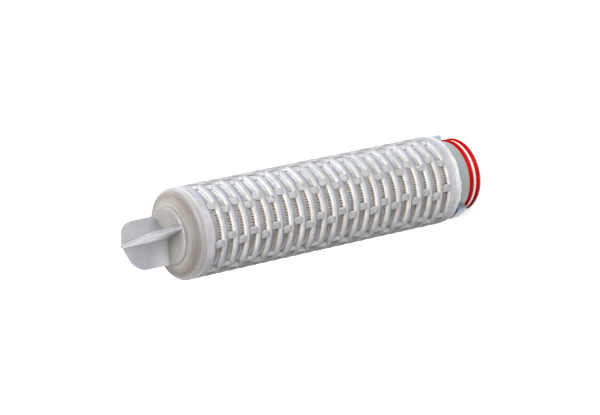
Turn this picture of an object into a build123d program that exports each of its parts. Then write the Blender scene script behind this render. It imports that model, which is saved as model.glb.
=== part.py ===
from build123d import *
import math
import os

# A pleated glass fibre filter cartridge, standing on its sealing end.
# Z runs up the axis from the nose of the adapter to the tip of the fin. Millimetres.
# The angle of a feature about the axis is counted from +X; the side that faces -Y is the front.

# Outer cage, a moulded tube of ribs with rows of slots between them
cage_radius = 34.5
rib_height = 3.1
rib_pitch = 10.05
slot_height = 2.25
slot_rows = 22
rib_crown = 2.9
lower_band = 7.3
upper_band = 10.9
bridge_width = 4.9
bridge_drop = 0.8
bridge_root = 1.0
inner_bridge = 21.2
outer_bridge = 66.2
bridge_stagger = 4.1
bridge_turn = -88.4
bore_stock = 0.8

# Pleated pack, three sheets folded together
pleat_count = 88
pleat_clearance = 0.3
upstream_depth = 1.2
media_depth = 1.6
downstream_depth = 1.2

# Perforated core that carries the pack from inside
core_bore = 15.2
core_wall = 2.5
core_clearance = 0.3
window_rows = 12
window_columns = 6
window_width = 9.0
window_rib = 5.0

# End caps, melted onto the pack and the cage
cap_overlap = 2.5
cap_shoulder = 3.4
cap_rounding = 2.6
cap_face_rise = 4.6
cap_face_radius = 23.2
lower_flange = 6.5
lower_rounding = 3.0

# Fin, three vanes on a round boss
boss_radius = 21.9
boss_height = 2.2
boss_edge = 0.8
vane_count = 3
vane_turn = -78.0
vane_radius = 21.9
vane_thickness = 2.6
vane_height = 40.5
vane_corner = 16.0
vane_tip_angle = 60.0

# Adapter, a piston with two ring grooves and two locking lugs
collar_radius = 28.0
piston_radius = 27.6
groove_floor = 25.2
ring_section = 3.53
ring_clearance = 0.05
groove_slack = 0.67
first_ring_height = 4.15
ring_spacing = 6.35
nose_chamfer = 1.5
adapter_length = 24.5
lug_radius = 33.2
lug_arc = 46.0
lug_turn = vane_turn + 90
lug_count = 2
lug_root = 1.0
lug_bottom = 14.9
lug_height = 8.2
support_radius = 22.8
support_wall = 1.2
support_height = 18.0
support_clearance = 0.1
web_thickness = 3.0

# Heights that follow from the sizes above
cap_bottom = adapter_length
cage_bottom = cap_bottom + lower_flange
slot_start = cage_bottom + lower_band
slot_end = slot_start + (slot_rows - 1) * rib_pitch + slot_height
cage_top = slot_end + upper_band
pack_bottom = slot_start - cap_overlap
pack_top = slot_end + cap_overlap
pack_height = pack_top - pack_bottom
shoulder_top = cage_top + cap_shoulder
face_top = shoulder_top + cap_rounding + cap_face_rise
boss_top = face_top + boss_height
cage_bore = cage_radius - rib_height
pack_radius = cage_bore - pleat_clearance
core_radius = core_bore + core_wall
core_seat = core_radius + core_clearance


def zigzag(tip, root):
    """Closed outline of the pleats with their tips and roots at these radii."""
    half = math.pi / pleat_count
    radii = [tip if i % 2 == 0 else root for i in range(2 * pleat_count)]
    return [(r * math.cos(i * half), r * math.sin(i * half)) for i, r in enumerate(radii)]


# Outer cage: each rib has a flat upper side, a plain crown and a lower side that slopes in.
# The ribs are turned from one section, then bridged and bored. Each half of the cage has four
# bridges in a row, which lean inwards in one row and outwards in the next.
rib_slope = rib_pitch - slot_height - rib_crown
stock_radius = cage_bore - bore_stock
stock_slope = rib_slope * (rib_height + bore_stock) / rib_height
bridge_depth = rib_height - bridge_drop + bore_stock
with BuildPart() as outer_cage:
    with BuildSketch(Plane.XZ):
        with BuildLine():
            Polyline(
                (stock_radius, cage_bottom),
                (cage_radius, cage_bottom),
                (cage_radius, slot_start),
                (stock_radius, slot_start),
                close=True,
            )
        make_face()
        for row in range(slot_rows - 1):
            rib_top = slot_start + (row + 1) * rib_pitch
            with BuildLine():
                Polyline(
                    (stock_radius, rib_top - rib_crown - stock_slope),
                    (cage_radius, rib_top - rib_crown),
                    (cage_radius, rib_top),
                    (stock_radius, rib_top),
                    close=True,
                )
            make_face()
        with BuildLine():
            Polyline(
                (stock_radius, slot_end + rib_slope - stock_slope),
                (cage_radius, slot_end + rib_slope),
                (cage_radius, cage_top),
                (stock_radius, cage_top),
                close=True,
            )
        make_face()
    revolve(axis=Axis.Z)
    for row in range(slot_rows):
        with BuildSketch(Plane.XY.offset(slot_start + row * rib_pitch - bridge_root)):
            for half in range(2):
                for place in (-outer_bridge, -inner_bridge, inner_bridge, outer_bridge):
                    lean = math.copysign(bridge_stagger, -place) * (-1) ** row
                    angle = bridge_turn + half * 180 + place + lean
                    with PolarLocations(stock_radius + bridge_depth / 2, 1, angle):
                        Rectangle(bridge_depth, bridge_width)
    extrude(amount=bridge_root + slot_height + rib_slope)
    with Locations((0, 0, cage_bottom)):
        Cylinder(
            cage_bore,
            cage_top - cage_bottom,
            align=(Align.CENTER, Align.CENTER, Align.MIN),
            mode=Mode.SUBTRACT,
        )
outer_cage.part.label = "outer_cage"

# Pleated sheets, each nested inside the one before it
total_depth = upstream_depth + media_depth + downstream_depth
outer_root = core_seat + total_depth
media_tip = pack_radius - upstream_depth
media_root = outer_root - upstream_depth
inner_tip = media_tip - media_depth
inner_root = media_root - media_depth

with BuildPart() as upstream_support:
    with BuildSketch(Plane.XY.offset(pack_bottom)):
        Polygon(*zigzag(pack_radius, outer_root), align=None)
        Polygon(*zigzag(media_tip, media_root), align=None, mode=Mode.SUBTRACT)
    extrude(amount=pack_height)
upstream_support.part.label = "upstream_support"

with BuildPart() as glass_fiber_media:
    with BuildSketch(Plane.XY.offset(pack_bottom)):
        Polygon(*zigzag(media_tip, media_root), align=None)
        Polygon(*zigzag(inner_tip, inner_root), align=None, mode=Mode.SUBTRACT)
    extrude(amount=pack_height)
glass_fiber_media.part.label = "glass_fiber_media"

with BuildPart() as downstream_support:
    with BuildSketch(Plane.XY.offset(pack_bottom)):
        Polygon(*zigzag(inner_tip, inner_root), align=None)
        tip_left = inner_tip - downstream_depth
        Polygon(*zigzag(tip_left, core_seat), align=None, mode=Mode.SUBTRACT)
    extrude(amount=pack_height)
downstream_support.part.label = "downstream_support"

# Core: a tube with rows of windows
window_pitch = pack_height / window_rows
window_height = window_pitch - window_rib
with BuildPart() as inner_core:
    with BuildSketch(Plane.XY.offset(pack_bottom)):
        Circle(core_radius)
        Circle(core_bore, mode=Mode.SUBTRACT)
    extrude(amount=pack_height)
    for row in range(window_rows):
        middle = pack_bottom + (row + 0.5) * window_pitch
        for column in range(window_columns // 2):
            turn = column * 360 / window_columns
            cut = Plane((0, 0, middle), x_dir=(-math.sin(math.radians(turn)),
                        math.cos(math.radians(turn)), 0),
                        z_dir=(math.cos(math.radians(turn)), math.sin(math.radians(turn)), 0))
            with BuildSketch(cut):
                Rectangle(window_width, window_height)
    extrude(amount=core_radius, both=True, mode=Mode.SUBTRACT)
inner_core.part.label = "inner_core"

# Fin end cap: a plug inside the cage, a shoulder on its rim and a face that rises to the fin
with BuildPart() as fin_end_cap:
    with BuildSketch(Plane.XZ):
        with BuildLine():
            Polyline(
                (0, face_top),
                (0, pack_top),
                (pack_radius, pack_top),
                (pack_radius, cage_top),
                (cage_radius, cage_top),
                (cage_radius, shoulder_top),
            )
            shoulder_end = (cage_radius - cap_rounding, shoulder_top + cap_rounding)
            RadiusArc((cage_radius, shoulder_top), shoulder_end, -cap_rounding)
            Line(shoulder_end, (cap_face_radius, face_top))
            Line((cap_face_radius, face_top), (0, face_top))
        make_face()
    revolve(axis=Axis.Z)
fin_end_cap.part.label = "fin_end_cap"

# Fin: the boss and three vanes that meet at the axis
tip_lean = math.radians(vane_tip_angle)
corner_end = vane_radius - vane_corner * (1 - math.cos(tip_lean))
tip_rise = corner_end / math.tan(tip_lean)
corner_rise = vane_corner * math.sin(tip_lean)
vane_top = boss_top + vane_height
corner_start = vane_top - tip_rise - corner_rise
with BuildPart() as fin:
    with BuildSketch(Plane.XY.offset(face_top)):
        Circle(boss_radius)
    extrude(amount=boss_height)
    chamfer(fin.edges().group_by(Axis.Z)[-1], boss_edge)
    for vane in range(vane_count):
        turn = math.radians(vane_turn + vane * 360 / vane_count)
        side = Plane((0, 0, 0), x_dir=(math.cos(turn), math.sin(turn), 0),
                     z_dir=(math.sin(turn), -math.cos(turn), 0))
        with BuildSketch(side):
            with BuildLine():
                Line((0, face_top), (vane_radius - boss_edge, face_top))
                Line((vane_radius - boss_edge, face_top), (vane_radius - boss_edge, boss_top))
                Line((vane_radius - boss_edge, boss_top), (vane_radius, boss_top + boss_edge))
                Line((vane_radius, boss_top + boss_edge), (vane_radius, corner_start))
                JernArc((vane_radius, corner_start), (0, 1), vane_corner, vane_tip_angle)
                Line((corner_end, corner_start + corner_rise), (0, vane_top))
                Line((0, vane_top), (0, face_top))
            make_face()
        extrude(amount=vane_thickness / 2, both=True)
fin.part.label = "fin"

# Open end cap: the same plug and shoulder below the pack, bored through
with BuildPart() as open_end_cap:
    with BuildSketch(Plane.XZ):
        with BuildLine():
            Line((core_bore, cap_bottom), (core_bore, pack_bottom))
            Line((core_bore, pack_bottom), (pack_radius, pack_bottom))
            Line((pack_radius, pack_bottom), (pack_radius, cage_bottom))
            Line((pack_radius, cage_bottom), (cage_radius, cage_bottom))
            Line((cage_radius, cage_bottom), (cage_radius, cap_bottom + lower_rounding))
            lower_end = (cage_radius - lower_rounding, cap_bottom)
            RadiusArc((cage_radius, cap_bottom + lower_rounding), lower_end, lower_rounding)
            Line(lower_end, (core_bore, cap_bottom))
        make_face()
    revolve(axis=Axis.Z)
open_end_cap.part.label = "open_end_cap"

# Adapter: piston, grooves and collar turned from one section, with the lugs added
groove_height = ring_section + groove_slack
ring_heights = [first_ring_height, first_ring_height + ring_spacing]
web_bottom = adapter_length - web_thickness
lug_top = lug_bottom + lug_height
with BuildPart() as bayonet_adapter:
    with BuildSketch(Plane.XZ):
        with BuildLine():
            Polyline(
                (support_radius, 0),
                (piston_radius - nose_chamfer, 0),
                (piston_radius, nose_chamfer),
                (piston_radius, lug_bottom),
                (collar_radius, lug_bottom),
                (collar_radius, adapter_length),
                (core_bore, adapter_length),
                (core_bore, web_bottom),
                (support_radius, web_bottom),
                close=True,
            )
        make_face()
        for height in ring_heights:
            with Locations(((groove_floor + collar_radius) / 2, height)):
                Rectangle(collar_radius - groove_floor, groove_height, mode=Mode.SUBTRACT)
    revolve(axis=Axis.Z)
    for lug in range(lug_count):
        middle = lug_turn + lug * 360 / lug_count
        with BuildSketch(Plane.XY.offset(lug_bottom)):
            with BuildLine():
                outer = CenterArc((0, 0), lug_radius, middle - lug_arc / 2, lug_arc)
                inner = CenterArc((0, 0), piston_radius - lug_root, middle - lug_arc / 2, lug_arc)
                Line(outer @ 0, inner @ 0)
                Line(outer @ 1, inner @ 1)
            make_face()
        extrude(amount=lug_height)
bayonet_adapter.part.label = "bayonet_adapter"

# Support ring: a metal sleeve pushed up the adapter's bore to the web
with BuildPart() as support_ring:
    with BuildSketch(Plane.XY.offset(web_bottom - support_height)):
        Circle(support_radius - support_clearance)
        Circle(support_radius - support_clearance - support_wall, mode=Mode.SUBTRACT)
    extrude(amount=support_height)
support_ring.part.label = "support_ring"

# Sealing rings, stretched over the groove floors
ring_centre = groove_floor + ring_clearance + ring_section / 2
with BuildPart() as lower_o_ring:
    with Locations((0, 0, ring_heights[0])):
        Torus(ring_centre, ring_section / 2)
lower_o_ring.part.label = "lower_o_ring"

with BuildPart() as upper_o_ring:
    with Locations((0, 0, ring_heights[1])):
        Torus(ring_centre, ring_section / 2)
upper_o_ring.part.label = "upper_o_ring"

os.makedirs("parts", exist_ok=True)
export_step(outer_cage.part, "parts/outer_cage.step")
export_step(upstream_support.part, "parts/upstream_support.step")
export_step(glass_fiber_media.part, "parts/glass_fiber_media.step")
export_step(downstream_support.part, "parts/downstream_support.step")
export_step(inner_core.part, "parts/inner_core.step")
export_step(fin_end_cap.part, "parts/fin_end_cap.step")
export_step(fin.part, "parts/fin.step")
export_step(open_end_cap.part, "parts/open_end_cap.step")
export_step(bayonet_adapter.part, "parts/bayonet_adapter.step")
export_step(support_ring.part, "parts/support_ring.step")
export_step(lower_o_ring.part, "parts/lower_o_ring.step")
export_step(upper_o_ring.part, "parts/upper_o_ring.step")
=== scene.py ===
import bpy
import bmesh
import math
from mathutils import Matrix, Vector, noise


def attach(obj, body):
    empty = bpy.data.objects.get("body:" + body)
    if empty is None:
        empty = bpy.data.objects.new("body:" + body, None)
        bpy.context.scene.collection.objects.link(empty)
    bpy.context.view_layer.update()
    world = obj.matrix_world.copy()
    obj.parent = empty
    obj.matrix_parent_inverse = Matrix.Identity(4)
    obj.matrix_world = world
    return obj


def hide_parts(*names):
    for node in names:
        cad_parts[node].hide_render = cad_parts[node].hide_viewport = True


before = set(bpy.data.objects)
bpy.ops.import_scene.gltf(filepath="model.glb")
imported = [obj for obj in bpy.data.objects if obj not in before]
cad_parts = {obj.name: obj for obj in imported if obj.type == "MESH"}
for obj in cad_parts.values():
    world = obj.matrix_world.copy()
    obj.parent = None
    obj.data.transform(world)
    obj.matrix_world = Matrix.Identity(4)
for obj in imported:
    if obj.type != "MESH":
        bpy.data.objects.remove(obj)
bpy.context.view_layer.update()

mm = 0.001


# helpers for meshes

def smoothAll(obj):
    for face in obj.data.polygons:
        face.use_smooth = True


def meshObject(name, bm, sharp=35):
    mesh = bpy.data.meshes.new(name)
    bmesh.ops.recalc_face_normals(bm, faces=bm.faces)
    bm.to_mesh(mesh)
    bm.free()
    obj = bpy.data.objects.new(name, mesh)
    bpy.context.scene.collection.objects.link(obj)
    smoothAll(obj)
    if sharp:
        mesh.set_sharp_from_angle(angle=math.radians(sharp))
    return obj


def arcPoints(centre, radius, start, end, count):
    # points on a round corner of a section, angles in degrees
    points = []
    for i in range(count + 1):
        a = math.radians(start + (end - start) * i / count)
        points.append((centre[0] + radius * math.cos(a), centre[1] + radius * math.sin(a)))
    return points


def turn(bm, section, steps, shift=None):
    # sweeps a section of (radius, height) in mm about the axis; shift moves each point
    closed = section[0] == section[-1]
    ring = section[:-1] if closed else section
    columns = []
    for i in range(steps):
        a = 2 * math.pi * i / steps
        column = []
        for r, z in ring:
            if shift:
                r, z = shift(a, r, z)
            column.append(bm.verts.new((r * math.cos(a) * mm, r * math.sin(a) * mm, z * mm)))
        columns.append(column)
    count = len(ring)
    for i in range(steps):
        a, b = columns[i], columns[(i + 1) % steps]
        for j in range(count if closed else count - 1):
            k = (j + 1) % count
            bm.faces.new((a[j], b[j], b[k], a[k]))
    return columns


def replaceWith(obj, node):
    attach(obj, "root")
    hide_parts(node)


# helpers for materials

def newMaterial(name):
    mat = bpy.data.materials.new(name)
    mat.use_nodes = True
    nodes = mat.node_tree.nodes
    shader = nodes["Principled BSDF"]
    return mat, mat.node_tree, shader


def addNode(tree, kind, **values):
    node = tree.nodes.new(kind)
    for key, value in values.items():
        if key in node.inputs:
            node.inputs[key].default_value = value
        else:
            setattr(node, key, value)
    return node


def join(tree, fromNode, output, toNode, socket):
    tree.links.new(fromNode.outputs[output], toNode.inputs[socket])


def noiseAt(tree, scale, detail=3.0, rough=0.5, stretch=(1, 1, 1)):
    coords = addNode(tree, "ShaderNodeTexCoord")
    mapping = addNode(tree, "ShaderNodeMapping")
    mapping.inputs["Scale"].default_value = stretch
    join(tree, coords, "Object", mapping, "Vector")
    tex = addNode(tree, "ShaderNodeTexNoise", Scale=scale, Detail=detail, Roughness=rough)
    join(tree, mapping, "Vector", tex, "Vector")
    return tex


def ramp(tree, source, output, stops):
    node = addNode(tree, "ShaderNodeValToRGB")
    bar = node.color_ramp
    while len(bar.elements) > 1:
        bar.elements.remove(bar.elements[0])
    bar.elements[0].position = stops[0][0]
    bar.elements[0].color = (*stops[0][1], 1)
    for place, colour in stops[1:]:
        bar.elements.new(place).color = (*colour, 1)
    join(tree, source, output, node, "Fac")
    return node


def addBump(tree, shader, source, output, strength, distance):
    bump = addNode(tree, "ShaderNodeBump", Strength=strength, Distance=distance)
    join(tree, source, output, bump, "Height")
    join(tree, bump, "Normal", shader, "Normal")
    return bump


def colourOf(node):
    # the output that carries a node's colour
    for key in ("Color", "Vector"):
        if key in node.outputs:
            return node.outputs[key]
    return node.outputs[2]


def mixColours(tree, factor, output, first, colour):
    # goes from the first node's colour to a fixed one as the factor rises
    mix = addNode(tree, "ShaderNodeMix", data_type="RGBA")
    join(tree, factor, output, mix, 0)
    tree.links.new(colourOf(first), mix.inputs[6])
    mix.inputs[7].default_value = (*colour, 1)
    return mix


def radiusFrom(tree, low, high):
    # distance from the axis, 0 at low and 1 at high, both in mm
    coords = addNode(tree, "ShaderNodeTexCoord")
    flat = addNode(tree, "ShaderNodeVectorMath", operation="MULTIPLY")
    flat.inputs[1].default_value = (1, 1, 0)
    join(tree, coords, "Object", flat, 0)
    size = addNode(tree, "ShaderNodeVectorMath", operation="LENGTH")
    join(tree, flat, "Vector", size, 0)
    spread = addNode(tree, "ShaderNodeMapRange")
    spread.inputs["From Min"].default_value = low * mm
    spread.inputs["From Max"].default_value = high * mm
    join(tree, size, "Value", spread, "Value")
    return spread


def placeFrom(tree, axis, low, high):
    # place along one axis, 0 at low and 1 at high, both in mm
    coords = addNode(tree, "ShaderNodeTexCoord")
    split = addNode(tree, "ShaderNodeSeparateXYZ")
    join(tree, coords, "Object", split, "Vector")
    spread = addNode(tree, "ShaderNodeMapRange")
    spread.inputs["From Min"].default_value = low * mm
    spread.inputs["From Max"].default_value = high * mm
    join(tree, split, axis, spread, "Value")
    return spread


def facingFrom(tree, axis, low, high):
    # how far a face looks along one axis, 0 at low and 1 at high
    facing = addNode(tree, "ShaderNodeNewGeometry")
    split = addNode(tree, "ShaderNodeSeparateXYZ")
    join(tree, facing, "Normal", split, "Vector")
    spread = addNode(tree, "ShaderNodeMapRange")
    spread.inputs["From Min"].default_value = low
    spread.inputs["From Max"].default_value = high
    join(tree, split, axis, spread, "Value")
    return spread


def paintShadeAlongX(tree, colour, stops):
    # multiplies a colour by a grey that changes along X to paint light and shade on one side, stops in mm from the axis
    side = placeFrom(tree, "X", stops[0][0], stops[-1][0])
    span = stops[-1][0] - stops[0][0]
    grey = ramp(tree, side, "Result", [((x - stops[0][0]) / span, (v * 0.5,) * 3) for x, v in stops])
    double = addNode(tree, "ShaderNodeVectorMath", operation="SCALE", Scale=2.0)
    join(tree, grey, "Color", double, 0)
    product = addNode(tree, "ShaderNodeVectorMath", operation="MULTIPLY")
    tree.links.new(colourOf(colour), product.inputs[0])
    join(tree, double, "Vector", product, 1)
    return product


def blend(tree, factor, first, second):
    # the first colour node where the factor is 0, the second where it is 1
    mix = addNode(tree, "ShaderNodeMix", data_type="RGBA")
    join(tree, factor, "Result", mix, 0)
    tree.links.new(colourOf(first), mix.inputs[6])
    tree.links.new(colourOf(second), mix.inputs[7])
    return mix


def shadeBy(tree, colour, source, output, low, high):
    # makes a colour darker and lighter with a texture
    spread = addNode(tree, "ShaderNodeMapRange")
    spread.inputs["From Min"].default_value = 0.3
    spread.inputs["From Max"].default_value = 0.7
    spread.inputs["To Min"].default_value = low
    spread.inputs["To Max"].default_value = high
    join(tree, source, output, spread, "Value")
    shade = addNode(tree, "ShaderNodeVectorMath", operation="SCALE")
    tree.links.new(colourOf(colour), shade.inputs[0])
    join(tree, spread, "Result", shade, "Scale")
    return shade


def aroundLines(tree, scale, height=False):
    # uneven lines that run round the axis, spaced by radius or by height, scale in lines per mm
    coords = addNode(tree, "ShaderNodeTexCoord")
    flat = addNode(tree, "ShaderNodeVectorMath", operation="MULTIPLY")
    flat.inputs[1].default_value = (1, 1, 0)
    join(tree, coords, "Object", flat, 0)
    way = addNode(tree, "ShaderNodeVectorMath", operation="NORMALIZE")
    join(tree, flat, "Vector", way, 0)
    parts = addNode(tree, "ShaderNodeSeparateXYZ")
    join(tree, way, "Vector", parts, "Vector")
    spaced = addNode(tree, "ShaderNodeMath", operation="MULTIPLY")
    spaced.inputs[1].default_value = 1000 * scale
    if height:
        split = addNode(tree, "ShaderNodeSeparateXYZ")
        join(tree, coords, "Object", split, "Vector")
        join(tree, split, "Z", spaced, 0)
    else:
        size = addNode(tree, "ShaderNodeVectorMath", operation="LENGTH")
        join(tree, flat, "Vector", size, 0)
        join(tree, size, "Value", spaced, 0)
    place = addNode(tree, "ShaderNodeCombineXYZ")
    join(tree, parts, "X", place, "X")
    join(tree, parts, "Y", place, "Y")
    join(tree, spaced, "Value", place, "Z")
    lines = addNode(tree, "ShaderNodeTexNoise", Scale=1.0, Detail=3.0, Roughness=0.6)
    join(tree, place, "Vector", lines, "Vector")
    return lines


# cage: ribs, bridges and end bands

cage = {
    "radius": 34.5,
    "bore": 31.4,
    "bottom": 31.0,
    "top": 262.5,
    "slotStart": 38.3,
    "pitch": 10.05,
    "slot": 2.25,
    "rows": 22,
    "crown": 2.9,
    "edge": 0.35,          # rounding of a rib's upper edge
    "shoulder": 4.0,       # rounding between crown and slope
    "steps": 204,
    "bridgePlaces": (-66.2, -21.2, 21.2, 66.2),
    "bridgeWidth": 4.9,
    "bridgeLevel": 34.25,
    "bridgeEdge": 0.45,
    "bridgeTurn": -88.4,
    "stagger": 4.1,
    "stripEnds": (66.2, 113.8),  # the cage is closed between its two halves
    "stripLevel": 34.32,
    # painted shade and light along X: multipliers that darken the cage towards its low side and lighten its top; the
    # next two rows do the same for the closed strips and the bridges
    "paintedShade": ((-33.5, 0.26), (-32.6, 0.33), (-31.5, 0.43), (-30.2, 0.60), (-27, 0.76), (-22, 0.86),
              (-10, 0.97), (12, 1.0), (24, 0.98), (31, 1.08), (34, 0.92)),
    "stripPaintedShade": ((-34.3, 0.24), (-33.5, 0.29), (-32.5, 0.38), (-31.5, 0.43), (-29, 0.5), (0, 0.9),
                   (28, 1.15), (33, 1.15), (34, 1.0)),
    "bridgePaintedShade": ((-33.5, 0.50), (-31.5, 1.15), (-29, 1.1), (-25, 1.05), (5, 1.08), (14, 1.3), (30, 1.45), (34, 1.1)),
}


def ribSection(c, top, bottom, low, high):
    # closed section of one rib; low and high say whether the lower side slopes and the upper is cut
    r, b = c["radius"], c["bore"]
    points = []
    if high:
        points.append((b, top))
        points += arcPoints((r - c["edge"], top - c["edge"]), c["edge"], 90, 0, 4)
    else:
        points += [(b, top), (r, top)]
    if low:
        slope = c["pitch"] - c["slot"] - c["crown"]
        crownEnd = bottom + slope
        lean = math.atan2(r - b, slope)
        reach = c["shoulder"] * math.tan(lean / 2)
        points.append((r, crownEnd + reach + 0.4))
        points += arcPoints((r - c["shoulder"], crownEnd + reach), c["shoulder"], 0,
                            -math.degrees(lean), 6)
        points.append((b + 0.25, bottom + 0.35))
        points.append((b, bottom + 0.1))
    else:
        points += [(r, bottom), (b, bottom)]
    points.append(points[0])
    return points


def lowBand(c):
    # the band at the adapter end, with points enough for the ridges of the weld
    section = ribSection(c, c["slotStart"], c["bottom"], False, True)
    ridged = [(c["radius"], c["slotStart"] - 0.8 - 0.25 * i) for i in range(24)]
    return section[:-3] + ridged + section[-3:]


def weldShift(a, r, z):
    # fine ridges where the cage melted onto the open end cap
    c = cage
    if r < c["radius"] - 0.01 or z > c["slotStart"] - 0.7:
        return r, z
    wave = noise.noise(Vector((math.cos(a) * 3, math.sin(a) * 3, z * 0.25)))
    ridge = math.sin(z * 4.3 + 3.2 * wave)
    return r - 0.11 * (1 + ridge) * min(1.0, (c["slotStart"] - z) / 3), z


def buildCage(c):
    bm = bmesh.new()
    slope = c["pitch"] - c["slot"] - c["crown"]
    slotEnd = c["slotStart"] + (c["rows"] - 1) * c["pitch"] + c["slot"]
    turn(bm, lowBand(c), c["steps"], weldShift)
    for row in range(c["rows"] - 1):
        top = c["slotStart"] + (row + 1) * c["pitch"]
        turn(bm, ribSection(c, top, top - c["crown"] - slope, True, True), c["steps"])
    turn(bm, ribSection(c, c["top"], slotEnd, True, False), c["steps"])
    for row in range(c["rows"]):
        low = c["slotStart"] + row * c["pitch"] - 0.5
        high = c["slotStart"] + row * c["pitch"] + c["slot"] + slope + 0.6
        for half in range(2):
            for place in c["bridgePlaces"]:
                lean = math.copysign(c["stagger"], -place) * (-1) ** row
                turned = c["bridgeTurn"] + half * 180 + place + lean
                addBridge(bm, c, math.radians(turned), low, high)
            first, last = (c["bridgeTurn"] + half * 180 + end for end in c["stripEnds"])
            shift = c["stagger"] * (-1) ** row
            addStrip(bm, c, first - shift, last + shift, low, high)
    return meshObject("cageRibs", bm, 40)


def addStrip(bm, c, first, last, low, high):
    # closes a slot from the outer bridge of one half to that of the other
    inner, outer, steps = c["bore"] + 0.02, c["stripLevel"], 28
    columns = []
    for i in range(steps + 1):
        a = math.radians(first + (last - first) * i / steps)
        columns.append([bm.verts.new((r * math.cos(a) * mm, r * math.sin(a) * mm, z * mm))
                        for r, z in ((inner, low), (outer, low), (outer, high), (inner, high))])
    made = []
    for a, b in zip(columns, columns[1:]):
        for j in range(4):
            k = (j + 1) % 4
            made.append(bm.faces.new((a[j], b[j], b[k], a[k])))
    made.append(bm.faces.new(columns[0][::-1]))
    made.append(bm.faces.new(columns[-1]))
    for face in made:
        face.material_index = 2


def addBridge(bm, c, angle, low, high):
    # a flat pad with rounded long edges between two ribs
    half, edge = c["bridgeWidth"] / 2, c["bridgeEdge"]
    section = [(c["bore"] + 0.02, -half)]
    section += [(r, -y) for r, y in arcPoints((c["bridgeLevel"] - edge, half - edge), edge, 90, 0, 3)]
    section += arcPoints((c["bridgeLevel"] - edge, half - edge), edge, 0, 90, 3)
    section.append((c["bore"] + 0.02, half))
    rows = []
    rise = c["radius"] - 0.06 - c["bridgeLevel"]
    for z, lift in ((low, rise), (low + 0.5, rise), (low + 1.4, 0.0), (high, 0.0)):
        row = []
        for r, y in section:
            r += lift if r > c["bore"] + 1 else 0
            x2 = r * math.cos(angle) - y * math.sin(angle)
            y2 = r * math.sin(angle) + y * math.cos(angle)
            row.append(bm.verts.new((x2 * mm, y2 * mm, z * mm)))
        rows.append(row)
    count = len(section)
    made = []
    for a, b in zip(rows, rows[1:]):
        for j in range(count):
            k = (j + 1) % count
            made.append(bm.faces.new((a[j], a[k], b[k], b[j])))
    made.append(bm.faces.new(rows[0][::-1]))
    made.append(bm.faces.new(rows[-1]))
    for face in made:
        face.material_index = 1


def cagePlastic():
    # crowns look milky; painted light and shade: slopes, which face down, are painted darker than the crowns and go
    # from dark to pale inwards, darker still on the low side and paler deep in the lowest slots; cut walls, which face
    # up to the light, are painted bright; the upper side gets a painted bluish tint of the light, and the whole is
    # painted darker towards the low side along X
    mat, tree, shader = newMaterial("cageNatural")
    crown = ramp(tree, radiusFrom(tree, 33.5, 34.4), "Result",
                 [(0.1, (0.25, 0.252, 0.265)), (0.9, (0.345, 0.345, 0.36))])
    slope = ramp(tree, radiusFrom(tree, 31.4, 34.5), "Result",
                 [(0.0, (0.33, 0.33, 0.348)), (0.45, (0.238, 0.241, 0.266)), (0.85, (0.205, 0.208, 0.232))])
    slopeShadedLow = ramp(tree, radiusFrom(tree, 31.4, 34.5), "Result",
                    [(0.0, (0.22, 0.22, 0.238)), (0.3, (0.15, 0.15, 0.167)), (0.6, (0.125, 0.125, 0.142)),
                     (0.9, (0.10, 0.102, 0.118))])
    slopeLitDeep = ramp(tree, radiusFrom(tree, 31.4, 34.5), "Result",
                     [(0.0, (0.56, 0.56, 0.58)), (0.3, (0.32, 0.32, 0.34)), (0.9, (0.11, 0.112, 0.128))])
    # painted shade on the low side, and painted light deep in the lowest slots
    slope = blend(tree, placeFrom(tree, "X", -4, -17), slope, slopeShadedLow)
    slope = blend(tree, placeFrom(tree, "X", -22, -27), slope, slopeLitDeep)
    cut = ramp(tree, radiusFrom(tree, 31.4, 34.5), "Result",
               [(0.3, (0.88, 0.86, 0.825)), (0.95, (0.53, 0.515, 0.50))])
    # painted shade and light by facing: down-facing slopes dark, up-facing cut walls bright
    low = blend(tree, facingFrom(tree, "Z", -0.04, -0.32), crown, slope)
    both = blend(tree, facingFrom(tree, "Z", 0.3, 0.9), low, cut)
    # painted bluish tint of the light on the upper side
    skyTint = addNode(tree, "ShaderNodeMix", data_type="RGBA", blend_type="MULTIPLY")
    join(tree, placeFrom(tree, "X", 6, 26), "Result", skyTint, 0)
    tree.links.new(both.outputs[2], skyTint.inputs[6])
    skyTint.inputs[7].default_value = (0.93, 0.96, 1.0, 1)
    # painted shade along X, darker towards the low side
    shadePainted = paintShadeAlongX(tree, skyTint, cage["paintedShade"])
    weld = shadeBy(tree, shadePainted, aroundLines(tree, 1.5, True), "Fac", 0.84, 1.42)
    nearWeld = blend(tree, placeFrom(tree, "Z", 37.6, 35.8), shadePainted, weld)
    streaked = shadeBy(tree, nearWeld, aroundLines(tree, 1.1, True), "Fac", 0.90, 1.10)
    cloud = shadeBy(tree, streaked, noiseAt(tree, 160, 4, 0.6), "Fac", 0.88, 1.12)
    join(tree, cloud, "Vector", shader, "Base Color")
    shader.inputs["Roughness"].default_value = 0.38
    shader.inputs["Specular IOR Level"].default_value = 0.18
    shader.inputs["IOR"].default_value = 1.49
    shader.inputs["Subsurface Weight"].default_value = 1.0
    shader.inputs["Subsurface Radius"].default_value = (0.95, 0.97, 1.0)
    shader.inputs["Subsurface Scale"].default_value = 0.0022
    grain = noiseAt(tree, 900, 2, 0.5)
    addBump(tree, shader, grain, "Fac", 0.12, 0.0002)
    return mat


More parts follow.
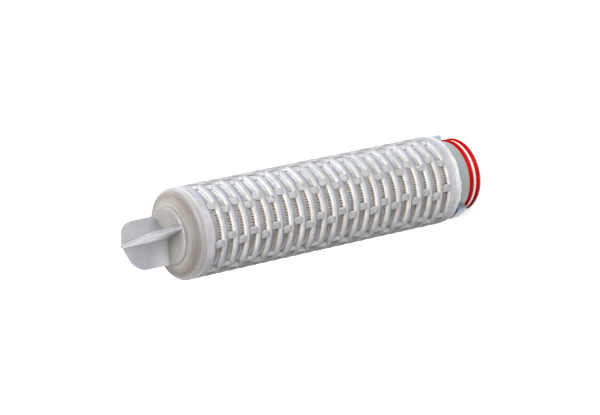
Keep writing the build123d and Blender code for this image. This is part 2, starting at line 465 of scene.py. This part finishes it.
def bridgePlastic():
    # the bridges are thin, so they look greyer on top, with pale specks; their sides, low down, are painted paler to
    # lift their shade, and painted light and shade make them lighter at the top along X and darker at the very low edge
    mat, tree, shader = newMaterial("bridgeNatural")
    specks = noiseAt(tree, 420, 3, 0.6)
    top = ramp(tree, specks, "Fac", [(0.35, (0.225, 0.225, 0.228)), (0.6, (0.285, 0.283, 0.28)),
                                     (0.75, (0.40, 0.395, 0.385))])
    side = ramp(tree, specks, "Fac", [(0.3, (0.46, 0.46, 0.47)), (0.7, (0.56, 0.56, 0.56))])
    both = blend(tree, radiusFrom(tree, 33.9, 33.2), top, side)
    # painted light and shade along X
    shadePainted = paintShadeAlongX(tree, both, cage["bridgePaintedShade"])
    join(tree, shadePainted, "Vector", shader, "Base Color")
    shader.inputs["Roughness"].default_value = 0.4
    shader.inputs["Specular IOR Level"].default_value = 0.2
    shader.inputs["IOR"].default_value = 1.49
    shader.inputs["Subsurface Weight"].default_value = 1.0
    shader.inputs["Subsurface Radius"].default_value = (0.95, 0.97, 1.0)
    shader.inputs["Subsurface Scale"].default_value = 0.0022
    addBump(tree, shader, specks, "Fac", 0.25, 0.0003)
    return mat


def stripPlastic():
    # the closed sides are thin as well, so they look a little darker than the crowns; painted shade makes them much
    # darker towards the low side along X and lighter at the top
    mat, tree, shader = newMaterial("stripNatural")
    cloud = noiseAt(tree, 160, 4, 0.6)
    tint = ramp(tree, cloud, "Fac", [(0.3, (0.26, 0.262, 0.28)), (0.7, (0.32, 0.32, 0.335))])
    # painted shade along X, darker towards the low side
    shadePainted = paintShadeAlongX(tree, tint, cage["stripPaintedShade"])
    streaked = shadeBy(tree, shadePainted, aroundLines(tree, 0.9, True), "Fac", 0.90, 1.10)
    join(tree, streaked, "Vector", shader, "Base Color")
    shader.inputs["Roughness"].default_value = 0.4
    shader.inputs["Specular IOR Level"].default_value = 0.05
    shader.inputs["IOR"].default_value = 1.49
    shader.inputs["Subsurface Weight"].default_value = 1.0
    shader.inputs["Subsurface Radius"].default_value = (0.95, 0.97, 1.0)
    shader.inputs["Subsurface Scale"].default_value = 0.0022
    addBump(tree, shader, cloud, "Fac", 0.15, 0.0003)
    return mat


cageRibs = buildCage(cage)
cageRibs.data.materials.append(cagePlastic())
cageRibs.data.materials.append(bridgePlastic())
cageRibs.data.materials.append(stripPlastic())
replaceWith(cageRibs, "outer_cage")
print("cage done", len(cageRibs.data.polygons))


# pleated pack

pack = {
    "count": 88,
    "tip": 31.05,
    "root": 25.5,
    "sheet": 0.64,         # half width of a tip
    "bottom": 35.9,
    "top": 254.0,
    "rows": 90,
    "sway": 0.12,
}


def buildPleats(p):
    bm = bmesh.new()
    half = math.pi / p["count"]
    section = []
    for i in range(p["count"]):
        middle = 2 * half * i
        for side in (-1, 1):
            for step in range(4):
                a = math.radians(90 * step / 3)
                if side == 1:
                    a = math.radians(90) - a
                r = p["tip"] - p["sheet"] * (1 - math.sin(a))
                y = side * p["sheet"] * math.cos(a)
                if side == 1 and step == 0:
                    continue
                section.append((r, middle + y / r))
        section.append((p["root"], middle + half))
    columns = []
    for row in range(p["rows"] + 1):
        z = p["bottom"] + (p["top"] - p["bottom"]) * row / p["rows"]
        column = []
        for r, a in section:
            wave = noise.noise(Vector((math.cos(a) * 9, math.sin(a) * 9, z * 0.045)))
            turnBy = wave * p["sway"] / r
            deep = max(0.0, noise.noise(Vector((math.sin(a) * 14, z * 0.03, math.cos(a) * 14)))) * 0.5
            rr = r - deep if r > p["root"] + 2 else r
            column.append(bm.verts.new((rr * math.cos(a + turnBy) * mm, rr * math.sin(a + turnBy) * mm, z * mm)))
        columns.append(column)
    count = len(section)
    for row in range(p["rows"]):
        for j in range(count):
            k = (j + 1) % count
            bm.faces.new((columns[row][j], columns[row][k], columns[row + 1][k], columns[row + 1][j]))
    return meshObject("pleatFleece", bm, 0)


def fleeceCloth():
    # painted shade: the fleece is painted darker deeper between the pleats, where shade falls
    mat, tree, shader = newMaterial("pleatFleeceBrown")
    fibres = noiseAt(tree, 700, 5, 0.7, (1, 1, 0.25))
    creaseShade = radiusFrom(tree, 26.5, 31.1)
    lift = addNode(tree, "ShaderNodeMath", operation="MULTIPLY_ADD")
    join(tree, fibres, "Fac", lift, 0)
    lift.inputs[1].default_value = 0.22
    join(tree, creaseShade, "Result", lift, 2)
    tint = ramp(tree, lift, "Value", [(0.1, (0.27, 0.22, 0.17)), (0.6, (0.33, 0.27, 0.205)),
                                      (0.86, (0.37, 0.315, 0.245)), (1.0, (0.44, 0.39, 0.325))])
    pale = ramp(tree, lift, "Value", [(0.1, (0.45, 0.44, 0.43)), (1.0, (0.85, 0.84, 0.83))])
    upper = blend(tree, placeFrom(tree, "X", 9, 22), tint, pale)  # painted light: the upper and lower sides are painted pale to lift their shade
    both = blend(tree, placeFrom(tree, "X", -17, -28), upper, pale)
    tree.links.new(both.outputs[2], shader.inputs["Base Color"])
    shader.inputs["Roughness"].default_value = 0.8
    shader.inputs["Sheen Weight"].default_value = 0.5
    shader.inputs["Subsurface Weight"].default_value = 0.9
    shader.inputs["Subsurface Radius"].default_value = (1.0, 0.9, 0.8)
    shader.inputs["Subsurface Scale"].default_value = 0.002
    addBump(tree, shader, fibres, "Fac", 0.5, 0.0004)
    return mat


pleatFleece = buildPleats(pack)
pleatFleece.data.materials.append(fleeceCloth())
replaceWith(pleatFleece, "upstream_support")
print("pleats done", len(pleatFleece.data.polygons))


# fin end cap

finCap = {
    "radius": 34.5,
    "plug": 31.1,
    "plugBottom": 254.1,
    "seat": 262.5,
    "shoulder": 265.9,
    "rounding": 2.6,
    "faceRadius": 23.2,
    "faceTop": 273.1,
    "steps": 288,
    # painted light along X, lighter at the top
    "paintedShade": ((-34, 1.05), (-10, 0.98), (8, 1.0), (30, 1.35)),
}


def buildFinCap(c):
    bm = bmesh.new()
    r, s = c["radius"], c["shoulder"]
    section = [(0.4, c["plugBottom"]), (c["plug"], c["plugBottom"]), (c["plug"], c["seat"])]
    section += [(r - 0.45, c["seat"]), (r - 0.15, c["seat"] + 0.12), (r - 0.05, c["seat"] + 0.5)]
    # two fine lines left by the weld
    for k in range(2):
        z = c["seat"] + 1.1 + 1.15 * k
        section += [(r, z), (r, z + 0.3), (r - 0.28, z + 0.5), (r - 0.28, z + 0.62), (r, z + 0.82)]
    section += arcPoints((r - c["rounding"], s), c["rounding"], 0, 78, 12)
    inner = c["faceRadius"]
    startR, startZ = section[-1]
    for i in range(1, 19):
        t = i / 18
        ease = t * t * (3 - 2 * t)
        radius = startR + (inner - startR) * t
        height = startZ + (c["faceTop"] - startZ) * (0.55 * t + 0.45 * ease)
        section.append((radius, height))
    section += [(inner - 1.0, c["faceTop"]), (0.4, c["faceTop"])]
    turn(bm, section, c["steps"])
    for height in (c["plugBottom"], c["faceTop"]):
        ring = [v for v in bm.verts if abs(v.co.z - height * mm) < 1e-7 and v.co.xy.length < 0.6 * mm]
        ring.sort(key=lambda v: math.atan2(v.co.y, v.co.x))
        bm.faces.new(ring)
    return meshObject("finCapShell", bm, 50)


def capPlastic():
    # the face is thin and shows the brown pack under it; fine rings run round it; the bright lines at the weld seam on
    # the rim are painted highlights, and painted light makes the face lighter towards +Y and towards the top along X
    mat, tree, shader = newMaterial("capNatural")
    cloud = noiseAt(tree, 45, 4, 0.6)
    wobble = addNode(tree, "ShaderNodeMath", operation="MULTIPLY_ADD")
    join(tree, cloud, "Fac", wobble, 0)
    wobble.inputs[1].default_value = 0.2
    join(tree, radiusFrom(tree, 20, 34.5), "Result", wobble, 2)
    tint = ramp(tree, wobble, "Value", [(0.1, (0.29, 0.285, 0.272)), (0.4, (0.255, 0.243, 0.225)),
                                        (0.75, (0.175, 0.154, 0.134)), (0.95, (0.225, 0.213, 0.205)),
                                        (1.0, (0.27, 0.268, 0.27))])
    # painted highlights: bright lines along the weld seam
    seamHighlights = ramp(tree, placeFrom(tree, "Z", 262, 266), "Result",
                [(0.0, (0.62, 0.60, 0.58)), (0.1, (0.30, 0.30, 0.31)), (0.36, (0.27, 0.268, 0.27)),
                 (0.42, (0.52, 0.51, 0.50)), (0.5, (0.28, 0.275, 0.27)), (1.0, (0.26, 0.25, 0.245))])
    both = blend(tree, radiusFrom(tree, 33.6, 34.1), tint, seamHighlights)
    rings = aroundLines(tree, 1.7)
    shade = shadeBy(tree, both, rings, "Fac", 0.80, 1.24)
    # painted light, lighter towards +Y
    lit = addNode(tree, "ShaderNodeMapRange")
    join(tree, placeFrom(tree, "Y", -30, 4), "Result", lit, "Value")
    lit.inputs["To Min"].default_value = 0.86
    lit.inputs["To Max"].default_value = 1.34
    paintedLightY = addNode(tree, "ShaderNodeVectorMath", operation="SCALE")
    join(tree, shade, "Vector", paintedLightY, 0)
    join(tree, lit, "Result", paintedLightY, "Scale")
    shadePainted = paintShadeAlongX(tree, paintedLightY, finCap["paintedShade"])
    join(tree, shadePainted, "Vector", shader, "Base Color")
    shader.inputs["Roughness"].default_value = 0.34
    shader.inputs["IOR"].default_value = 1.49
    shader.inputs["Subsurface Weight"].default_value = 0.5
    shader.inputs["Subsurface Radius"].default_value = (1.0, 0.9, 0.8)
    shader.inputs["Subsurface Scale"].default_value = 0.002
    addBump(tree, shader, rings, "Fac", 0.5, 0.0008)
    return mat


finCapShell = buildFinCap(finCap)
finCapShell.data.materials.append(capPlastic())
replaceWith(finCapShell, "fin_end_cap")
print("fin cap done", len(finCapShell.data.polygons))


# fin: boss and three vanes, melted into one smooth moulding

fin = {
    "bottom": 273.1,
    "bossTop": 275.3,
    "bossRadius": 21.9,
    "bossEdge": 1.7,
    "radius": 21.7,
    "top": 315.7,
    "corner": 16.0,
    "tipAngle": 60.0,
    "thickness": 2.6,
    "turn": -78.0,
    "voxel": 0.45,
    # painted light along X for the boss, lighter at the top
    "paintedShade": ((-22, 1.0), (2, 1.0), (18, 1.25)),
}


def buildFin(f):
    bm = bmesh.new()
    e = f["bossEdge"]
    section = [(0.3, f["bottom"]), (f["bossRadius"], f["bottom"])]
    section += arcPoints((f["bossRadius"] - e, f["bossTop"] - e), e, 0, 90, 6) + [(0.3, f["bossTop"])]
    turn(bm, section, 160)
    for height in (f["bottom"], f["bossTop"]):
        ring = [v for v in bm.verts if abs(v.co.z - height * mm) < 1e-7 and v.co.xy.length < 0.5 * mm]
        ring.sort(key=lambda v: math.atan2(v.co.y, v.co.x))
        bm.faces.new(ring)
    lean = math.radians(f["tipAngle"])
    cornerEnd = f["radius"] - f["corner"] * (1 - math.cos(lean))
    cornerStart = f["top"] - cornerEnd / math.tan(lean) - f["corner"] * math.sin(lean)
    outline = [(-0.4, f["bottom"] + 0.6), (f["radius"], f["bottom"] + 0.6), (f["radius"], cornerStart)]
    outline += arcPoints((f["radius"] - f["corner"], cornerStart), f["corner"], 0, f["tipAngle"], 14)
    outline += [(-0.4, f["top"] + 0.2)]
    for vane in range(3):
        a = math.radians(f["turn"] + 120 * vane)
        sides = []
        for y in (-f["thickness"] / 2, f["thickness"] / 2):
            row = []
            for r, z in outline:
                row.append(bm.verts.new(((r * math.cos(a) - y * math.sin(a)) * mm,
                                         (r * math.sin(a) + y * math.cos(a)) * mm, z * mm)))
            sides.append(row)
        count = len(outline)
        for j in range(count):
            k = (j + 1) % count
            bm.faces.new((sides[0][j], sides[0][k], sides[1][k], sides[1][j]))
        bm.faces.new(sides[0][::-1])
        bm.faces.new(sides[1])
    obj = meshObject("finMoulding", bm, 0)
    remesh = obj.modifiers.new("melt", "REMESH")
    remesh.mode = "VOXEL"
    remesh.voxel_size = f["voxel"] * mm
    soften = obj.modifiers.new("soften", "SMOOTH")
    soften.iterations = 5
    soften.factor = 0.5
    applyAll(obj)
    smoothAll(obj)
    return obj


def applyAll(obj):
    graph = bpy.context.evaluated_depsgraph_get()
    made = bpy.data.meshes.new_from_object(obj.evaluated_get(graph))
    old = obj.data
    obj.modifiers.clear()
    obj.data = made
    bpy.data.meshes.remove(old)


def finPlastic():
    # vanes are milky; painted light: faces that look down are painted near white and, near the boss, paler, for light
    # coming through the vanes, and the boss is painted lighter towards the top along X; the boss takes the tint of the
    # cap
    mat, tree, shader = newMaterial("finNatural")
    cloud = noiseAt(tree, 90, 4, 0.6)
    vane = ramp(tree, cloud, "Fac", [(0.3, (0.285, 0.285, 0.31)), (0.7, (0.33, 0.33, 0.355))])
    # painted light on the faces that look down
    under = mixColours(tree, facingFrom(tree, "X", -0.5, -0.9), "Result", vane, (0.90, 0.90, 0.93))
    root = ramp(tree, cloud, "Fac", [(0.3, (0.48, 0.48, 0.50)), (0.7, (0.57, 0.57, 0.59))])
    low = blend(tree, facingFrom(tree, "X", 0.0, -0.3), under, root)
    upper = blend(tree, placeFrom(tree, "Z", 279, 292), low, under)
    boss = ramp(tree, cloud, "Fac", [(0.3, (0.335, 0.323, 0.303)), (0.7, (0.40, 0.388, 0.362))])
    boss = paintShadeAlongX(tree, boss, fin["paintedShade"])
    both = blend(tree, placeFrom(tree, "Z", 276.6, 275.4), upper, boss)
    rings = aroundLines(tree, 1.7)
    shade = shadeBy(tree, both, rings, "Fac", 0.90, 1.10)
    join(tree, shade, "Vector", shader, "Base Color")
    shader.inputs["Roughness"].default_value = 0.25
    shader.inputs["IOR"].default_value = 1.45
    shader.inputs["Transmission Weight"].default_value = 0.25
    shader.inputs["Subsurface Weight"].default_value = 1.0
    shader.inputs["Subsurface Radius"].default_value = (1.0, 1.0, 1.0)
    shader.inputs["Subsurface Scale"].default_value = 0.008
    grain = noiseAt(tree, 600, 3, 0.5)
    addBump(tree, shader, grain, "Fac", 0.1, 0.0002)
    return mat


finMoulding = buildFin(fin)
finMoulding.data.materials.append(finPlastic())
replaceWith(finMoulding, "fin")
print("fin done", len(finMoulding.data.polygons))


# open end cap with its uneven melted bead

openCap = {
    "radius": 34.45,
    "bore": 15.2,
    "bottom": 24.5,
    "seat": 31.0,
    "plug": 31.1,
    "plugTop": 35.8,
    "rounding": 3.0,
    "steps": 360,
    # painted shade along X, darker towards the low side
    "paintedShade": ((-34, 0.6), (-22, 0.80), (0, 1.02), (30, 1.1)),
}


def beadShift(a, r, z):
    # the melt stands out and sags by different amounts round the rim
    c = openCap
    if r < c["plug"] - 2 or z > c["seat"] - 0.1:
        return r, z
    lump = noise.noise(Vector((math.cos(a) * 4.2, math.sin(a) * 4.2, 0.3)))
    fine = noise.noise(Vector((math.cos(a) * 15, math.sin(a) * 15, z * 0.6)))
    ridge = math.sin(z * 5.2 + 2.4 * noise.noise(Vector((math.cos(a) * 3, math.sin(a) * 3, 5.1))))
    edge = min(1.0, (c["seat"] - z) / 2)
    r -= edge * (0.62 + 0.6 * lump + 0.35 * fine) + 0.16 * (1 + ridge)
    return r, z + (0.6 * lump + 0.4 * fine) * edge * 0.6 + 0.35 * edge


def buildOpenCap(c):
    bm = bmesh.new()
    r = c["radius"]
    section = [(c["bore"], c["bottom"]), (c["bore"], c["plugTop"]), (c["plug"], c["plugTop"]),
               (c["plug"], c["seat"]), (r - 0.3, c["seat"])]
    for i in range(1, 25):
        section.append((r, c["seat"] - i * (c["seat"] - c["bottom"] - c["rounding"]) / 24))
    section += arcPoints((r - c["rounding"], c["bottom"] + c["rounding"]), c["rounding"], 0, -90, 10)[1:]
    section += [(29.5, c["bottom"]), (27.9, c["bottom"] - 0.01), (c["bore"], c["bottom"])]
    turn(bm, section, c["steps"], beadShift)
    return meshObject("openCapBead", bm, 60)


def beadPlastic():
    # the melt's own grey with fine lines round it; painted shade makes it darker towards the low side along X
    mat, tree, shader = newMaterial("meltedBead")
    cloud = noiseAt(tree, 120, 5, 0.65)
    tint = ramp(tree, cloud, "Fac", [(0.3, (0.40, 0.392, 0.39)), (0.7, (0.56, 0.55, 0.54))])
    shade = shadeBy(tree, tint, aroundLines(tree, 1.4, True), "Fac", 0.72, 1.2)
    shadePainted = paintShadeAlongX(tree, shade, openCap["paintedShade"])
    join(tree, shadePainted, "Vector", shader, "Base Color")
    shader.inputs["Roughness"].default_value = 0.3
    shader.inputs["IOR"].default_value = 1.49
    shader.inputs["Subsurface Weight"].default_value = 0.5
    shader.inputs["Subsurface Radius"].default_value = (1.0, 0.95, 0.95)
    shader.inputs["Subsurface Scale"].default_value = 0.002
    runs = noiseAt(tree, 260, 4, 0.6)
    addBump(tree, shader, runs, "Fac", 0.35, 0.0005)
    return mat


openCapBead = buildOpenCap(openCap)
openCapBead.data.materials.append(beadPlastic())
replaceWith(openCapBead, "open_end_cap")
print("open cap done", len(openCapBead.data.polygons))


# adapter: piston, grooves, collar and lugs

adapter = {
    "length": 24.5,
    "piston": 27.6,
    "collar": 28.0,
    "groove": 25.2,
    "grooveHeight": 4.2,
    "rings": (4.15, 10.5),
    "lugBottom": 14.9,
    "lugHeight": 8.2,
    "lugRadius": 33.2,
    "lugArc": 46.0,
    "lugTurn": 12.0,
    "pocket": 22.8,
    "bore": 15.2,
    "web": 21.5,
    "chamfer": 1.5,
    "steps": 256,
    # painted shade along X, a little darker towards the low side
    "paintedShade": ((-33, 0.9), (-15, 0.86), (0, 0.92), (30, 1.0)),
}


def buildAdapter(a):
    bm = bmesh.new()
    p, e = a["piston"], 0.15
    section = [(a["pocket"], 0.0), (p - a["chamfer"], 0.0), (p - 0.25, a["chamfer"] - 0.3), (p, a["chamfer"] + 0.2)]
    for height in a["rings"]:
        low, high = height - a["grooveHeight"] / 2, height + a["grooveHeight"] / 2
        section += [(p, low - e), (p - e, low), (a["groove"] + e, low), (a["groove"], low + e),
                    (a["groove"], high - e), (a["groove"] + e, high), (p - e, high), (p, high + e)]
    section += [(p, a["lugBottom"] - 0.02), (a["collar"], a["lugBottom"] + 0.2), (a["collar"], a["length"]),
                (a["bore"], a["length"]), (a["bore"], a["web"]), (a["pocket"], a["web"]), (a["pocket"], 0.0)]
    turn(bm, section, a["steps"])
    for lug in range(2):
        addLug(bm, a, a["lugTurn"] + 180 * lug)
    return meshObject("adapterPiston", bm, 40)


def addLug(bm, a, middle):
    # a thick arc with rounded outer edges
    low, high, r = a["lugBottom"], a["lugBottom"] + a["lugHeight"], a["lugRadius"]
    inner, e = a["collar"] - 0.8, 0.6
    section = [(inner, low)] + arcPoints((r - e, low + e), e, -90, 0, 4)
    section += arcPoints((r - e, high - e), e, 0, 90, 4) + [(inner, high)]
    count, steps = len(section), 30
    columns = []
    for i in range(steps + 1):
        t = i / steps
        angle = math.radians(middle + a["lugArc"] * (t - 0.5))
        shrink = 0.5 if i in (0, steps) else 0.0
        column = []
        for radius, z in section:
            rr = max(inner, radius - shrink)
            zz = min(max(z, low + shrink * 0.6), high - shrink * 0.6)
            column.append(bm.verts.new((rr * math.cos(angle) * mm, rr * math.sin(angle) * mm, zz * mm)))
        columns.append(column)
    for i in range(steps):
        for j in range(count):
            k = (j + 1) % count
            bm.faces.new((columns[i][j], columns[i + 1][j], columns[i + 1][k], columns[i][k]))
    bm.faces.new(columns[0])
    bm.faces.new(columns[-1][::-1])


def adapterPlastic():
    mat, tree, shader = newMaterial("adapterTint")
    across = radiusFrom(tree, 27.0, 33.2)
    cloud = noiseAt(tree, 110, 3, 0.5)
    wobble = addNode(tree, "ShaderNodeMath", operation="MULTIPLY_ADD")
    join(tree, cloud, "Fac", wobble, 0)
    wobble.inputs[1].default_value = 0.06
    join(tree, across, "Result", wobble, 2)
    tint = ramp(tree, wobble, "Value", [(0.2, (0.22, 0.242, 0.247)), (0.3, (0.21, 0.24, 0.27)),
                                        (0.5, (0.20, 0.24, 0.29)), (1.0, (0.22, 0.26, 0.33))])
    # painted light: the lug on the upper side is painted lighter and bluer
    lugTopLit = ramp(tree, wobble, "Value", [(0.25, (0.21, 0.24, 0.27)), (0.5, (0.27, 0.34, 0.41)),
                                          (1.0, (0.30, 0.38, 0.46))])
    tint = blend(tree, placeFrom(tree, "X", 22, 27), tint, lugTopLit)
    pale = ramp(tree, cloud, "Fac", [(0.3, (0.54, 0.56, 0.57)), (0.7, (0.60, 0.62, 0.63))])
    both = blend(tree, placeFrom(tree, "Z", 10.5, 8.0), tint, pale)  # the nose shows no sleeve behind it
    # painted shade along X, a little darker towards the low side
    shadePainted = paintShadeAlongX(tree, both, adapter["paintedShade"])
    join(tree, shadePainted, "Vector", shader, "Base Color")
    shader.inputs["Roughness"].default_value = 0.25
    shader.inputs["IOR"].default_value = 1.49
    shader.inputs["Subsurface Weight"].default_value = 0.4
    shader.inputs["Subsurface Radius"].default_value = (0.8, 1.0, 1.0)
    shader.inputs["Subsurface Scale"].default_value = 0.002
    grain = noiseAt(tree, 450, 2, 0.5)
    addBump(tree, shader, grain, "Fac", 0.08, 0.0002)
    return mat


adapterPiston = buildAdapter(adapter)
adapterPiston.data.materials.append(adapterPlastic())
replaceWith(adapterPiston, "bayonet_adapter")
print("adapter done", len(adapterPiston.data.polygons))


# sealing rings

seals = {
    "centre": 27.015,
    "section": 1.76,
    "heights": {"lower_o_ring": 4.15, "upper_o_ring": 10.5},
    # painted shade along X, darker towards the low side
    "paintedShade": ((-28, 0.5), (-12, 0.8), (4, 1.0), (28, 1.08)),
}


def redSilicone():
    mat, tree, shader = newMaterial("redSilicone")
    cloud = noiseAt(tree, 200, 3, 0.5)
    tint = ramp(tree, cloud, "Fac", [(0.3, (0.34, 0.0004, 0.0006)), (0.7, (0.43, 0.0005, 0.001))])
    # painted shade: the rings are painted darker towards the low side along X, down to half
    shadePainted = paintShadeAlongX(tree, tint, seals["paintedShade"])
    join(tree, shadePainted, "Vector", shader, "Base Color")
    shader.inputs["Roughness"].default_value = 0.42
    shader.inputs["IOR"].default_value = 1.41
    shader.inputs["Specular IOR Level"].default_value = 0.08
    dust = noiseAt(tree, 1500, 3, 0.6)
    addBump(tree, shader, dust, "Fac", 0.08, 0.0001)
    return mat


siliconeRed = redSilicone()
for node, height in seals["heights"].items():
    bm = bmesh.new()
    ring = arcPoints((seals["centre"], height), seals["section"], 0, 360, 32)
    ring[-1] = ring[0]
    turn(bm, ring, 256)
    seal = meshObject("seal" + node.split("_")[0].capitalize(), bm, 0)
    seal.data.materials.append(siliconeRed)
    replaceWith(seal, node)
print("seals done")


# inner pieces keep their CAD shapes and get their own finishes

def coreNatural():
    mat, tree, shader = newMaterial("coreNatural")
    cloud = noiseAt(tree, 140, 3, 0.5)
    tint = ramp(tree, cloud, "Fac", [(0.3, (0.66, 0.66, 0.66)), (0.7, (0.78, 0.78, 0.77))])
    join(tree, tint, "Color", shader, "Base Color")
    shader.inputs["Roughness"].default_value = 0.4
    shader.inputs["Subsurface Weight"].default_value = 0.3
    shader.inputs["Subsurface Scale"].default_value = 0.002
    grain = noiseAt(tree, 700, 2, 0.5)
    addBump(tree, shader, grain, "Fac", 0.1, 0.0002)
    return mat


def glassFibre():
    mat, tree, shader = newMaterial("glassFibre")
    fibres = noiseAt(tree, 900, 6, 0.75, (1, 1, 0.2))
    tint = ramp(tree, fibres, "Fac", [(0.3, (0.34, 0.27, 0.18)), (0.7, (0.56, 0.48, 0.36))])
    join(tree, tint, "Color", shader, "Base Color")
    shader.inputs["Roughness"].default_value = 0.75
    addBump(tree, shader, fibres, "Fac", 0.4, 0.0003)
    return mat


def sleeveSteel():
    mat, tree, shader = newMaterial("sleeveSteel")
    lines = noiseAt(tree, 400, 3, 0.6, (0.15, 0.15, 6))
    tint = ramp(tree, lines, "Fac", [(0.3, (0.46, 0.47, 0.48)), (0.7, (0.62, 0.63, 0.64))])
    join(tree, tint, "Color", shader, "Base Color")
    shader.inputs["Metallic"].default_value = 1.0
    shader.inputs["Roughness"].default_value = 0.3
    addBump(tree, shader, lines, "Fac", 0.15, 0.0001)
    return mat


def dress(node, mat):
    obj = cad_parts[node]
    obj.data.materials.clear()
    obj.data.materials.append(mat)


dress("inner_core", coreNatural())
dress("glass_fiber_media", glassFibre())
dress("downstream_support", glassFibre())
dress("support_ring", sleeveSteel())
print("inner pieces done")


# floor, light and camera

studio = {
    "floor": 3.0,
    "lens": 165.0,
    "distance": 2071.7,
    "tilt": 34.5,
    "roll": 102.147,
    "aim": (0.3, 0.0, 155.7),
}


def buildFloor(s):
    bm = bmesh.new()
    bmesh.ops.create_grid(bm, x_segments=1, y_segments=1, size=s["floor"])
    obj = meshObject("studioFloor", bm, 0)
    mat, tree, shader = newMaterial("floorPaper")
    cloud = noiseAt(tree, 3, 2, 0.5)
    tint = ramp(tree, cloud, "Fac", [(0.3, (0.79, 0.79, 0.79)), (0.7, (0.83, 0.83, 0.83))])
    join(tree, tint, "Color", shader, "Base Color")
    shader.inputs["Roughness"].default_value = 0.9
    shader.inputs["Emission Color"].default_value = (1, 1, 1, 1)
    shader.inputs["Emission Strength"].default_value = 0.62  # a light table, so the shadow fades out
    obj.data.materials.append(mat)
    return obj


def addLight(name, place, aim, size, power, tint=(1, 1, 1)):
    data = bpy.data.lights.new(name, "AREA")
    data.shape = "DISK"
    data.size = size
    data.energy = power
    data.color = tint
    lamp = bpy.data.objects.new(name, data)
    lamp.location = place
    lamp.rotation_euler = (Vector(aim) - Vector(place)).to_track_quat("-Z", "Y").to_euler()
    bpy.context.scene.collection.objects.link(lamp)
    return lamp


def addCamera(s):
    data = bpy.data.cameras.new("photoCamera")
    data.lens = s["lens"]
    data.sensor_width = 36
    data.clip_end = 20
    cam = bpy.data.objects.new("photoCamera", data)
    tilt, roll = math.radians(s["tilt"]), math.radians(s["roll"])
    forward = Vector((0, math.cos(tilt), -math.sin(tilt)))
    cam.location = Vector(s["aim"]) * mm - forward * s["distance"] * mm
    upright = Matrix.Rotation(math.radians(90) - tilt, 3, "X")
    cam.rotation_euler = (upright @ Matrix.Rotation(-roll, 3, "Z")).to_euler()
    bpy.context.scene.collection.objects.link(cam)
    bpy.context.scene.camera = cam
    return cam


buildFloor(studio)
addLight("softboxAbove", (0.1, -0.1, 2.3), (0, 0, 0.1), 1.2, 24)
addLight("fill", (-1.25, -0.85, 0.45), (0, 0, 0.15), 0.9, 7)
addLight("key", (0.75, -1.20, 1.42), (0, 0, 0.15), 1.3, 46)
addCamera(studio)
bpy.context.scene.view_settings.view_transform = "Standard"

world = bpy.data.worlds.new("studioWorld")
bpy.context.scene.world = world
world.use_nodes = True
world.node_tree.nodes["Background"].inputs["Color"].default_value = (1, 1, 1, 1)
world.node_tree.nodes["Background"].inputs["Strength"].default_value = 0.17
print("studio done")
